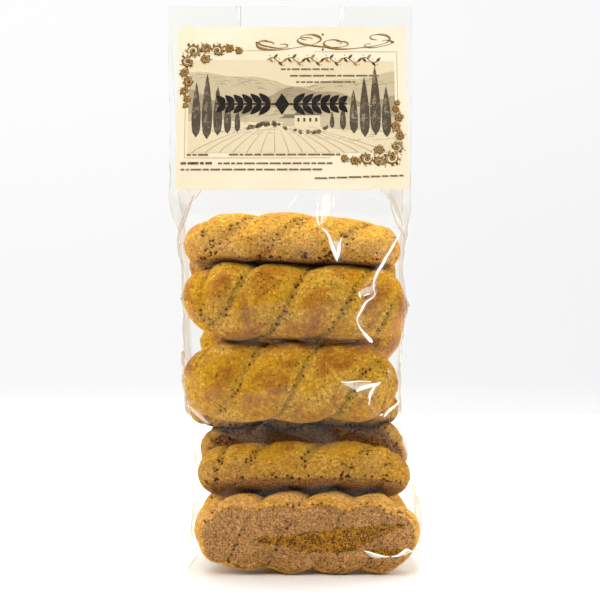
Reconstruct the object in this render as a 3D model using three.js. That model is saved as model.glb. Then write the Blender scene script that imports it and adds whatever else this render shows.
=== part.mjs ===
// A pack of twisted biscotti, stood upright: a clear side-gusseted film bag filled with ten rope-shaped
// biscuits in two columns, and a paper label on the flattened header of the bag.
//
// The filled bag is one solid. Its skin is the film, which lies over the biscuits like a stretched
// membrane: it touches their lobes and bridges the gaps between them. Above the biscuits the sides fold
// inwards as gussets while the front and back panels close to a flat header.
//
// Millimetres, +Z up. The floor is z = 0, the label faces -Y, and the bag's long rows run along X.

import * as THREE from 'three';

const { degToRad, lerp, smoothstep } = THREE.MathUtils;

// ---- Driving dimensions ------------------------------------------------------------------------------

const bag = {
  height: 292, // floor to the cut edge at the top
  blockHalf: 36.5, // half the depth of the filled block
  gussetHalf: 37.4, // half the width of a side gusset, folded flat
  footHalf: 34, // half the depth where the bag meets the floor
  footRound: 10, // height over which the foot widens to the full depth
  shoulder: 174, // height where the gussets start to fold in
  slope: 200, // height above which the panels close in a straight line
  slopeHalf: 32.8, // half the depth there
  topHalf: 1.2, // half the depth of the flat top
  cornerBlock: 11, // corner radius round the biscuits
  cornerFoot: 3, // corner radius at the floor, where the film stands out in ears
  cornerHeader: 0.5, // corner radius of the sharp folds in the header
  earHeight: 24, // height over which the ears fade out
};

// How far the left and right edges of the bag stand from the middle plane, at a few heights. The pack
// leans a little, and narrows where its biscuits are shorter.
const leftEdge = [
  [0, -57.5], [19, -54.5], [55, -54], [91, -56.5], [125, -59.5], [163, -61.5], [200, -63.5], [292, -65.5],
];
const rightEdge = [[0, 63], [20, 65.5], [50, 63], [75, 60], [110, 58.8], [190, 58.5], [292, 60.6]];

const membrane = {
  clearance: 0.6, // from a biscuit to the outer face of the film
  pullFront: 0.9, // how far the front and back sink at each step where nothing holds them out
  pullFold: 0.8, // the same along the gussets' folds, which draw in between the two columns
  cornerHold: 0.5, // share of that which is left at each step at the corners, which stand out stiffly
  cornerReach: 11, // how far from a corner the film is stiffer
  deepest: 17, // the film never sinks further than this
  steps: 260,
  fade: 14, // height over which the film comes back to the plain bag at the foot and at the header
};

const label = { width: 117, height: 89, corner: 1.2, thickness: 0.4, gap: 0.3, centreX: -1.8, bottom: 196.5 };

// A biscuit is two strands of dough twisted together, with a flat base. All are made by the same rule.
const dough = {
  strandShare: 0.415, // strand radius as a share of the biscuit's width
  sunk: 7, // depth of dough flattened away at the base
  endOffset: 6, // how far one strand stops short of the other
  endGather: 0.25, // how far the strands draw together at the ends
  belly: 0.1, // how much thinner the strands are at the ends
};

// roll 0 lies on its base, 90 shows its top to the front and -90 its base.
const biscuits = [
  { x: -1.6, y: -10.5, z: 171.2, length: 112, width: 36.5, thick: 28,
    roll: -14, yaw: 0, pitch: 1.5, turns: -2.3, phase: 71 },
  { x: -0.3, y: -20.5, z: 138.4, length: 115.5, width: 42.5, thick: 29,
    roll: 103, yaw: 1, pitch: 1, turns: -2, phase: -37 },
  { x: -2.6, y: -20, z: 99, length: 111, width: 43.5, thick: 29,
    roll: 76, yaw: -1, pitch: 0, turns: -1.8, phase: 30 },
  { x: 4.3, y: -13.5, z: 53.2, length: 110, width: 36, thick: 25,
    roll: -29, yaw: 0, pitch: 0, turns: -2.2, phase: 92 },
  { x: 6.1, y: -20.5, z: 21.6, length: 116, width: 41.5, thick: 29,
    roll: -82, yaw: 0, pitch: 1, turns: -2.5, phase: 96 },
  { x: -1.5, y: 21, z: 154, length: 110, width: 37, thick: 28,
    roll: -96, yaw: 1, pitch: 1, turns: -1.9, phase: 140 },
  { x: 3.3, y: 20.5, z: 117, length: 109, width: 37, thick: 28,
    roll: 86, yaw: -1, pitch: -1, turns: -2, phase: 200 },
  { x: -1, y: 18, z: 84.5, length: 112, width: 35, thick: 26,
    roll: 4, yaw: 0, pitch: 0, turns: -2.1, phase: 160 },
  { x: 4.6, y: 18.5, z: 60, length: 111, width: 36, thick: 27,
    roll: -80, yaw: 0, pitch: 0, turns: -1.8, phase: 95 },
  { x: 5, y: 20.5, z: 20.6, length: 113, width: 39.5, thick: 28,
    roll: -86, yaw: 0, pitch: 0, turns: -2, phase: 250 },
];

// How finely the solids are divided.
const divisions = { panel: 26, corner: 3, gusset: 8, blockRow: 4.2, headerRow: 9, labelColumns: 2 };

// ---- The biscuits, as points on their crust ----------------------------------------------------------

// One section of a strand: where its middle lies across the biscuit, and its radius. The section is round
// here, and is flattened to the biscuit's thickness after it.
function strandSection(biscuit, strand, x) {
  const start = -biscuit.length / 2 + (strand === 1 ? dough.endOffset : 0);
  const end = biscuit.length / 2 - (strand === 0 ? dough.endOffset : 0);
  const fullRadius = dough.strandShare * biscuit.width;
  const fromMiddle = Math.abs(x) / (biscuit.length / 2);
  const radius = fullRadius * (1 - dough.belly * fromMiddle ** 2);
  const pastRound = Math.max(0, start + radius - x, x - end + radius);
  const twist = (2 * Math.PI * biscuit.turns * x) / biscuit.length;
  const angle = degToRad(biscuit.phase) + Math.PI * strand + twist;
  const gather = 1 - dough.endGather * smoothstep(fromMiddle, 0.6, 1);
  const away = (biscuit.width / 2 - fullRadius) * gather;
  return {
    y: away * Math.cos(angle),
    z: away * Math.sin(angle),
    radius: Math.sqrt(Math.max(0, radius ** 2 - pastRound ** 2)),
  };
}

function biscuitPlace(biscuit) {
  const turn = new THREE.Euler(degToRad(biscuit.roll), degToRad(biscuit.pitch), degToRad(biscuit.yaw), 'ZYX');
  const place = new THREE.Matrix4().makeRotationFromEuler(turn);
  place.setPosition(biscuit.x, biscuit.y, biscuit.z);
  return place.multiply(new THREE.Matrix4().makeTranslation(0, 0, -biscuit.thick / 2));
}

function crustPoints(biscuit, along = 70, around = 30) {
  const place = biscuitPlace(biscuit);
  const bodyHalf = (biscuit.thick + dough.sunk) / 2;
  const flatten = bodyHalf / (biscuit.width / 2);
  const points = [];
  for (const strand of [0, 1]) {
    for (let i = 0; i <= along; i++) {
      const x = lerp(-biscuit.length / 2, biscuit.length / 2, i / along);
      const section = strandSection(biscuit, strand, x);
      for (let j = 0; j < around && section.radius > 0; j++) {
        const angle = (2 * Math.PI * j) / around;
        const y = section.y + section.radius * Math.cos(angle);
        const round = section.z + section.radius * Math.sin(angle);
        const z = Math.max(0, round * flatten + bodyHalf - dough.sunk);
        points.push(new THREE.Vector3(x, y, z).applyMatrix4(place));
      }
    }
  }
  return points;
}

// ---- The plain bag, before the film sinks between the biscuits ----------------------------------------

// A value that eases from one station to the next, and levels out at each.
function atHeight(stations, z) {
  const next = Math.max(1, stations.findIndex(([height]) => height >= z));
  const [lowZ, low] = stations[next - 1];
  const [highZ, high] = stations[next];
  return lerp(low, high, smoothstep(z, lowZ, highZ));
}

// Half the depth of the bag: full round the biscuits, then easing into the straight slope of the header.
function halfDepth(z) {
  const rise = Math.sin((Math.PI / 2) * Math.min(1, z / bag.footRound));
  const foot = lerp(bag.footHalf, bag.blockHalf, rise);
  if (z <= bag.shoulder) return foot;
  const fall = (bag.slopeHalf - bag.topHalf) / (bag.height - bag.slope);
  if (z >= bag.slope) return bag.slopeHalf - fall * (z - bag.slope);
  const span = bag.slope - bag.shoulder;
  const t = (z - bag.shoulder) / span;
  return lerp(bag.blockHalf, bag.slopeHalf, t * t * (3 - 2 * t)) + (t ** 2 - t ** 3) * fall * span;
}

// How far the middle fold of a gusset lies inside the edge of the bag.
function gussetInset(z) {
  if (z <= bag.shoulder) return 0;
  return bag.gussetHalf * Math.sqrt(Math.max(0, 1 - (halfDepth(z) / bag.blockHalf) ** 2));
}

function cornerRadius(z) {
  const block = lerp(bag.cornerFoot, bag.cornerBlock, smoothstep(z, 0, bag.earHeight));
  return lerp(block, bag.cornerHeader, smoothstep(z, bag.shoulder, bag.slope));
}

// Quarter of a section: the middle of the front panel, round the corner, to the fold of the gusset.
// x counts outwards from the middle of the bag and y backwards from the front face.
function quarterSection(halfWidth, z) {
  const depth = halfDepth(z);
  const radius = cornerRadius(z);
  const points = [];
  for (let i = 0; i < divisions.panel / 2; i++) {
    points.push([((halfWidth - radius) * i) / (divisions.panel / 2), -depth]);
  }
  for (let i = 0; i < divisions.corner; i++) {
    const angle = ((Math.PI / 2) * i) / divisions.corner;
    points.push([halfWidth - radius * (1 - Math.sin(angle)), -depth + radius * (1 - Math.cos(angle))]);
  }
  for (let i = 0; i <= divisions.gusset; i++) {
    const t = i / divisions.gusset;
    points.push([halfWidth - gussetInset(z) * t, lerp(-depth + radius, 0, t)]);
  }
  return points;
}

// A whole section, counter-clockwise from above, from the middle of the front panel.
function section(z) {
  const left = atHeight(leftEdge, z);
  const right = atHeight(rightEdge, z);
  const middle = (left + right) / 2;
  const quarter = quarterSection((right - left) / 2, z);
  const inner = quarter.slice(1, -1).reverse();
  const fold = quarter[quarter.length - 1];
  return [
    ...quarter.slice(0, -1),
    fold,
    ...inner.map(([x, y]) => [x, -y]),
    [0, -quarter[0][1]],
    ...quarter.slice(1, -1).map(([x, y]) => [-x, -y]),
    [-fold[0], fold[1]],
    ...inner.map(([x, y]) => [-x, y]),
  ].map(([x, y]) => new THREE.Vector2(middle + x, y));
}

function sectionNormals(points) {
  return points.map((point, i) => {
    const before = points[(i + points.length - 1) % points.length];
    const after = points[(i + 1) % points.length];
    return new THREE.Vector2(after.y - before.y, before.x - after.x).normalize();
  });
}

// ---- The film -----------------------------------------------------------------------------------------

function rowHeights() {
  const blockRows = Math.round(bag.slope / divisions.blockRow);
  const headerRows = Math.round((bag.height - bag.slope) / divisions.headerRow);
  const block = Array.from({ length: blockRows }, (_, i) => (bag.slope * i) / blockRows);
  const header = Array.from({ length: headerRows + 1 }, (_, i) => i / headerRows);
  return [...block, ...header.map((t) => lerp(bag.slope, bag.height, t))];
}

// For each point of each section, the most that the film can sink before a biscuit stops it.
function depthsToCrust(heights, sections, normals) {
  const rowPitch = bag.slope / Math.round(bag.slope / divisions.blockRow);
  const depths = sections.map((points) => points.map(() => Infinity));
  for (const point of biscuits.flatMap((biscuit) => crustPoints(biscuit))) {
    const row = Math.round(point.z / rowPitch);
    if (row < 0 || row >= heights.length) continue;
    sections[row].forEach((outer, i) => {
      const dx = outer.x - point.x;
      const dy = outer.y - point.y;
      const sideways = Math.abs(dx * normals[row][i].y - dy * normals[row][i].x);
      const depth = dx * normals[row][i].x + dy * normals[row][i].y - membrane.clearance;
      if (sideways < rowPitch * 0.6 && depth < depths[row][i]) depths[row][i] = depth;
    });
  }
  return depths;
}

// The film sinks evenly, is drawn level with its neighbours, and is stopped by the biscuits.
function sinkFilm(heights, sections, normals) {
  const limits = depthsToCrust(heights, sections, normals);
  const around = sections[0].length;
  const header = label.bottom - 1;
  const held = (z) => smoothstep(z, 0, membrane.fade) * (1 - smoothstep(z, header - membrane.fade, header));
  const inward = sections.map((points, j) => {
    const xs = points.map((point) => point.x);
    return points.map(({ x, y }, i) => {
      const fromSide = Math.min(x - Math.min(...xs), Math.max(...xs) - x);
      const onFront = Math.abs(normals[j][i].y) > 0.7;
      return smoothstep(onFront ? fromSide : halfDepth(heights[j]) - Math.abs(y), 0, membrane.cornerReach);
    });
  });
  const stays = inward.map((row) => row.map((share) => lerp(membrane.cornerHold, 1, share)));
  const pulls = inward.map((row, j) => row.map((share, i) => (
    share * lerp(membrane.pullFold, membrane.pullFront, Math.abs(normals[j][i].y)))));
  let sunk = sections.map((points) => points.map(() => 0));
  for (let step = 0; step < membrane.steps; step++) {
    sunk = sunk.map((row, j) => row.map((_, i) => {
      if (j === 0 || j === sunk.length - 1) return 0;
      const beside = row[(i + 1) % around] + row[(i + around - 1) % around];
      const level = (beside + sunk[j - 1][i] + sunk[j + 1][i]) / 4;
      const limit = Math.min(limits[j][i], membrane.deepest);
      return Math.min(Math.max(0, level + pulls[j][i]) * stays[j][i], limit) * held(heights[j]);
    }));
  }
  return sunk;
}

function filmGeometry() {
  const heights = rowHeights();
  const sections = heights.map(section);
  const normals = sections.map(sectionNormals);
  const sunk = sinkFilm(heights, sections, normals);
  const around = sections[0].length;
  const positions = [];
  heights.forEach((z, j) => {
    sections[j].forEach((point, i) => {
      const depth = Math.max(0, sunk[j][i]);
      positions.push(point.x - depth * normals[j][i].x, point.y - depth * normals[j][i].y, z);
    });
  });
  const triangles = [];
  for (let j = 0; j < heights.length - 1; j++) {
    for (let i = 0; i < around; i++) {
      const a = j * around + i;
      const b = j * around + ((i + 1) % around);
      triangles.push(a, b, b + around, a, b + around, a + around);
    }
  }
  const cap = (row) => THREE.ShapeUtils.triangulateShape(
    Array.from({ length: around }, (_, i) => {
      const at = 3 * (row * around + i);
      return new THREE.Vector2(positions[at], positions[at + 1]);
    }),
    [],
  );
  for (const [a, b, c] of cap(0)) triangles.push(a, c, b);
  const top = (heights.length - 1) * around;
  for (const [a, b, c] of cap(heights.length - 1)) triangles.push(top + a, top + b, top + c);
  return closedGeometry(positions, triangles);
}

function closedGeometry(positions, triangles) {
  const geometry = new THREE.BufferGeometry();
  geometry.setAttribute('position', new THREE.Float32BufferAttribute(positions, 3));
  geometry.setIndex(triangles);
  geometry.computeVertexNormals();
  return geometry;
}

// ---- The label ----------------------------------------------------------------------------------------

// A sheet of card that follows the slope of the front panel, with its corners just rounded.
function labelGeometry() {
  const lean = Math.atan2(bag.slopeHalf - bag.topHalf, bag.height - bag.slope);
  const footY = -halfDepth(bag.slope) - Math.tan(lean) * (bag.slope - label.bottom);
  const quarterTurn = [0, 0.1, 0.3, 0.6, 1];
  const cornerRows = quarterTurn.map((t) => t * label.corner);
  const rows = [...cornerRows, ...cornerRows.map((v) => label.height - v).reverse()];
  const positions = [];
  for (const back of [0, 1]) {
    for (const v of rows) {
      const fromEdge = label.corner - Math.min(label.corner, v, label.height - v);
      const half = label.width / 2 - (label.corner - Math.sqrt(label.corner ** 2 - fromEdge ** 2));
      for (let i = 0; i <= divisions.labelColumns; i++) {
        const x = label.centreX + lerp(-half, half, i / divisions.labelColumns);
        const out = label.gap + (back ? 0 : label.thickness);
        const y = footY + v * Math.sin(lean) - out * Math.cos(lean);
        positions.push(x, y, label.bottom + v * Math.cos(lean) + out * Math.sin(lean));
      }
    }
  }
  const columns = divisions.labelColumns + 1;
  const half = rows.length * columns;
  const triangles = [];
  const quad = (a, b, c, d) => triangles.push(a, b, c, a, c, d);
  for (let j = 0; j < rows.length - 1; j++) {
    for (let i = 0; i < divisions.labelColumns; i++) {
      const a = j * columns + i;
      quad(a, a + 1, a + columns + 1, a + columns);
      quad(half + a + columns, half + a + columns + 1, half + a + 1, half + a);
    }
    const left = j * columns;
    const right = left + columns - 1;
    quad(left, left + columns, half + left + columns, half + left);
    quad(right + columns, right, half + right, half + right + columns);
  }
  for (let i = 0; i < divisions.labelColumns; i++) {
    const top = (rows.length - 1) * columns + i;
    quad(i + 1, i, half + i, half + i + 1);
    quad(top, top + 1, half + top + 1, half + top);
  }
  return closedGeometry(positions, triangles);
}

// ---- The pack -----------------------------------------------------------------------------------------

const biscuitsInFilm = new THREE.MeshStandardMaterial({ color: 0xc8963f, roughness: 0.45, metalness: 0 });
const labelPaper = new THREE.MeshStandardMaterial({ color: 0xfdeecb, roughness: 0.6, metalness: 0 });

function named(name, geometry, material) {
  const mesh = new THREE.Mesh(geometry, material);
  mesh.name = name;
  return mesh;
}

const pack = new THREE.Group();
pack.add(named('bag', filmGeometry(), biscuitsInFilm));
pack.add(named('label', labelGeometry(), labelPaper));

// The origin is under the middle of the pack's box.
const box = new THREE.Box3().setFromObject(pack);
pack.position.set(-(box.min.x + box.max.x) / 2, -(box.min.y + box.max.y) / 2, -box.min.z);

export default pack;
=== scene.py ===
# A clear gusseted bag of twisted biscotti with a paper label on its header.
# Sizes in the dictionaries are millimetres and degrees unless a note says otherwise.
import math

import bmesh
import bpy
import numpy as np
from mathutils import Euler, Matrix, Vector
from mathutils.bvhtree import BVHTree


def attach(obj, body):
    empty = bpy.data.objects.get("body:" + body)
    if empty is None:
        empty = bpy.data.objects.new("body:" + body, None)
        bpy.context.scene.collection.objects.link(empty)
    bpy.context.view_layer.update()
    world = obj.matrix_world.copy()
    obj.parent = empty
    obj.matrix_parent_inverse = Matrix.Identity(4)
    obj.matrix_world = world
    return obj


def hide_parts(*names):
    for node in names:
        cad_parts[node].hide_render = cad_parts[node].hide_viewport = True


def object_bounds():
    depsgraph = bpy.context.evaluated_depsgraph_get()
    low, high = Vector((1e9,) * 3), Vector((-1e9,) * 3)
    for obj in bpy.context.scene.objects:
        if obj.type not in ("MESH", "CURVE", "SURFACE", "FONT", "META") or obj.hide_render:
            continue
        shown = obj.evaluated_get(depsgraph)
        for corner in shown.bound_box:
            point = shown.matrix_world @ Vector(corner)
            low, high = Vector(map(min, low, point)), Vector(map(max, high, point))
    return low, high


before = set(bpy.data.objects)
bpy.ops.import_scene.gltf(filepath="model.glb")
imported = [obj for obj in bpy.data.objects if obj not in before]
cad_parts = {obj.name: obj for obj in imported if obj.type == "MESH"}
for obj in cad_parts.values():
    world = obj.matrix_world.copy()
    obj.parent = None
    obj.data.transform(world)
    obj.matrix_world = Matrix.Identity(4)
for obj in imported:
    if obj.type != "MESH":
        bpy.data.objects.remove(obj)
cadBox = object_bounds()
scene = bpy.context.scene
mm = 0.001

# The bag's cut top edge tells where the sizes below sit in the frame.
topEdge = [v.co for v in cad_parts["bag"].data.vertices if v.co.z > cadBox[1].z - 0.4 * mm]
topMiddle = (min(p.x for p in topEdge) + max(p.x for p in topEdge)) / 2
shift = Vector((topMiddle + 2.45 * mm, sum(p.y for p in topEdge) / len(topEdge), 0))
print("frame loaded, shifted by", [round(v / mm, 2) for v in shift])


# helpers for node trees and materials

def plugAll(node, inputs):
    for key, value in inputs.items():
        if isinstance(value, Wire):
            value.tree.links.new(value.socket, node.inputs[key])
        else:
            node.inputs[key].default_value = value


def wired(tree, kind, inputs=None, output=0, **settings):
    node = tree.nodes.new(kind)
    for name, setting in settings.items():
        setattr(node, name, setting)
    plugAll(node, inputs or {})
    return Wire(tree, node.outputs[output])


class Wire:
    # a socket that can be added, multiplied and so on like a number
    def __init__(self, tree, socket):
        self.tree = tree
        self.socket = socket

    def apply(self, operation, *others):
        values = dict(enumerate((self, *others)))
        return wired(self.tree, "ShaderNodeMath", values, operation=operation)

    def __add__(self, other):
        return self.apply("ADD", other)

    def __sub__(self, other):
        return self.apply("SUBTRACT", other)

    def __rsub__(self, other):
        return wired(self.tree, "ShaderNodeMath", {0: other, 1: self}, operation="SUBTRACT")

    def __mul__(self, other):
        return self.apply("MULTIPLY", other)

    def __truediv__(self, other):
        return self.apply("DIVIDE", other)

    def __pow__(self, other):
        return self.apply("POWER", other)

    __radd__ = __add__
    __rmul__ = __mul__

    def max(self, other):
        return self.apply("MAXIMUM", other)

    def ramp(self, low, high, outLow=0.0, outHigh=1.0, kind="SMOOTHSTEP"):
        return wired(self.tree, "ShaderNodeMapRange", {
            "Value": self, "From Min": low, "From Max": high, "To Min": outLow, "To Max": outHigh,
        }, "Result", interpolation_type=kind)

    def fade(self, low, high):
        return self.ramp(low, high, 1.0, 0.0)


def smoothMax(a, b, blend):
    # the larger of two values, with the corner between them rounded off
    share = ((a - b) * 0.5 / blend + 0.5).max(0).apply("MINIMUM", 1)
    return share * a + (1 - share) * b + share * (1 - share) * blend


def noiseAt(vector, scale, detail=2.0, rough=0.5, distortion=0.0, part=0):
    return wired(vector.tree, "ShaderNodeTexNoise", {
        "Vector": vector, "Scale": scale, "Detail": detail, "Roughness": rough,
        "Distortion": distortion}, part)


def split3(vector):
    first = wired(vector.tree, "ShaderNodeSeparateXYZ", {0: vector})
    return [Wire(vector.tree, part) for part in first.socket.node.outputs]


def cellsAt(vector, scale):
    # distance to the nearest cell centre, and a random number for each cell
    gap = wired(vector.tree, "ShaderNodeTexVoronoi", {"Vector": vector, "Scale": scale}, "Distance")
    return gap, split3(Wire(vector.tree, gap.socket.node.outputs["Color"]))[0]


def join3(x, y, z):
    return wired(x.tree, "ShaderNodeCombineXYZ", {0: x, 1: y, 2: z})


def vectorMaths(operation, a, b):
    return wired(a.tree, "ShaderNodeVectorMath", {0: a, 1: b}, operation=operation)


def scaled(vector, share):
    return wired(vector.tree, "ShaderNodeVectorMath", {0: vector, "Scale": share}, operation="SCALE")


def bumped(height, strength, distance):
    inputs = {"Strength": strength, "Distance": distance, "Height": height}
    return wired(height.tree, "ShaderNodeBump", inputs)


def attributeIn(tree, name):
    return wired(tree, "ShaderNodeAttribute", None, "Fac", attribute_name=name)


def linear(colour):
    # a screen colour, 0 to 255, as the light values that shaders use
    shares = [c / 255 for c in colour]
    return [c / 12.92 if c <= 0.04045 else ((c + 0.055) / 1.055) ** 2.4 for c in shares] + [1.0]


def colourMix(share, *colours):
    first, second = (c if isinstance(c, Wire) else linear(c) for c in colours)
    return wired(share.tree, "ShaderNodeMix", {0: share, 6: first, 7: second}, 2, data_type="RGBA")


def newMaterial(name):
    material = bpy.data.materials.new(name)
    material.use_nodes = True
    tree = material.node_tree
    return material, tree, tree.nodes["Principled BSDF"]


def objectPlace(tree):
    return wired(tree, "ShaderNodeTexCoord", None, "Object")


# helpers for meshes

def smooth01(value, low, high):
    t = np.clip((value - low) / (high - low), 0, 1)
    return t * t * (3 - 2 * t)


def pointsOf(mesh):
    where = np.empty(len(mesh.vertices) * 3)
    mesh.vertices.foreach_get("co", where)
    return where.reshape(-1, 3)


def addLayer(mesh, name, values):
    mesh.attributes.new(name, "FLOAT", "POINT").data.foreach_set("value", values)


def surfaceOf(*meshes):
    corners, faces = [], []
    for mesh in meshes:
        start = len(corners)
        corners += pointsOf(mesh).tolist()
        faces += [[start + i for i in p.vertices] for p in mesh.polygons]
    return BVHTree.FromPolygons(corners, faces)


def gridFaces(rows, columns, start=0, closed=False):
    # quads of a grid whose points are listed row after row, closed round each row or not
    faces = []
    for j in range(rows - 1):
        for i in range(columns if closed else columns - 1):
            a, b = start + j * columns + i, start + j * columns + (i + 1) % columns
            faces.append((a, b, b + columns, a + columns))
    return faces


def faceOutward(mesh, towardsFront=False):
    shape = bmesh.new()
    shape.from_mesh(mesh)
    bmesh.ops.recalc_face_normals(shape, faces=shape.faces)
    for face in shape.faces if towardsFront else []:
        if face.normal.y > 0:
            face.normal_flip()
    shape.to_mesh(mesh)
    shape.free()


def newObject(name, data):
    made = bpy.data.objects.new(name, data)
    scene.collection.objects.link(made)
    return made


def newPiece(name, mesh, node):
    piece = newObject(name, mesh)
    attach(piece, "root")
    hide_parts(node)
    return piece


# the biscuits: two strands of dough twisted together, flat underneath

# what a biscuit has unless its own line says otherwise, and the lowest point of all of them
dough = {"share": 0.415, "sunk": 7.0, "ends": (4.0, 3.0), "endGather": 0.25, "belly": 0.1, "lowest": 0.4}

crust = {
    "cellsAlong": 280, "cellsAround": 200,
    "seamBlend": 1.8,  # how softly the strands meet where the seam is open
    "seamClose": 4.0,  # and how much softer where it has baked shut
    "rimBlend": 2.4,  # roundness of the rim of the flat base
    "wobble": 0.25,  # unevenness of the twist, radians
    "lumps": 1.2, "wrinkles": 0.55, "crumb": 0.24,
    "grooves": 1.0, "pits": 1.3, "cracks": 1.0,
    "paintedShadeReach": 4.2,  # how near another biscuit the crust colour is darkened, as painted shade
}

# outlines of the damp patches on a base, across and up: their top edge and their low edge
damp = {
    "on": "biscuit_front_5", "overall": 0.15,
    "patches": [
        ([(-24, 19.6), (12, 24.4), (34, 26.8), (58, 28.4)],
         [(-24, 19), (-6.5, 15), (3, 12.4), (22, 11.8), (33, 14), (42, 20.2), (58, 26.8)]),
        ([(35, 13.6), (46, 14.6), (60, 15)], [(35, 13), (42, 9.8), (52, 9.2), (60, 13)]),
    ],
}

# roll 0 lies on its base, 90 shows its top to the front and -90 its base
# each biscuit's brightness value is partly how dark it is baked and partly painted light and shade, lower for
# the biscuits that sit in shade
biscuits = [
    {"name": "biscuit_front_1", "toneAndShade": 1.06, "at": (-1.6, -10.5, 171.2), "size": (112, 36.5, 28),
     "turn": (-14, 1.5, 0), "turns": -1.75, "phase": 71, "seed": 3.1, "bend": 1.0, "belly": 0.34,
     "share": 0.45, "ends": (6, 1)},
    {"name": "biscuit_front_2", "toneAndShade": 0.91, "at": (-0.3, -20.5, 138.4), "size": (115.5, 42.5, 29),
     "turn": (103, 1, 1), "turns": -2.0, "phase": -37, "seed": 7.4, "bend": 0.5,
     "share": 0.435, "ends": (6, 1.5)},
    {"name": "biscuit_front_3", "toneAndShade": 0.84, "at": (-2.6, -20, 99), "size": (111, 43.5, 29),
     "turn": (76, 0, -1), "turns": -1.8, "phase": 30, "seed": 11.9, "bend": -0.6,
     "share": 0.435, "ends": (1.5, 3)},
    {"name": "biscuit_front_4", "toneAndShade": 0.75, "at": (4.3, -13.5, 53.2), "size": (110, 36, 25),
     "turn": (-29, 0, 0), "turns": -2.2, "phase": 92, "seed": 15.2, "bend": 0.8, "share": 0.46},
    {"name": "biscuit_front_5", "toneAndShade": 1.04, "at": (6.1, -20.5, 21.6), "size": (116, 41.5, 29),
     "turn": (-82, 1, 0), "turns": -2.5, "phase": 96, "seed": 19.6, "bend": 0.4,
     "sunk": 8.5, "share": 0.43, "ends": (2, 4)},
    {"name": "biscuit_back_1", "toneAndShade": 0.85, "at": (-1.5, 21, 154), "size": (110, 37, 28),
     "turn": (-96, 1, 1), "turns": -1.9, "phase": 140, "seed": 23.3, "bend": -0.7},
    {"name": "biscuit_back_2", "toneAndShade": 0.9, "at": (3.3, 20.5, 117), "size": (109, 37, 28),
     "turn": (86, -1, -1), "turns": -2.0, "phase": 200, "seed": 27.8, "bend": 0.6},
    {"name": "biscuit_back_3", "toneAndShade": 0.8, "at": (-1, 18, 84.5), "size": (112, 35, 26),
     "turn": (4, 0, 0), "turns": -2.1, "phase": 160, "seed": 31.5, "bend": -0.4},
    {"name": "biscuit_back_4", "toneAndShade": 0.82, "at": (4.6, 18.5, 60), "size": (111, 36, 27),
     "turn": (-80, 0, 0), "turns": -1.8, "phase": 95, "seed": 35.7, "bend": 0.5},
    {"name": "biscuit_back_5", "toneAndShade": 0.95, "at": (5, 20.5, 20.6), "size": (113, 39.5, 28),
     "turn": (-86, 0, 0), "turns": -2.0, "phase": 250, "seed": 39.2, "bend": 0.3},
]


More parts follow.
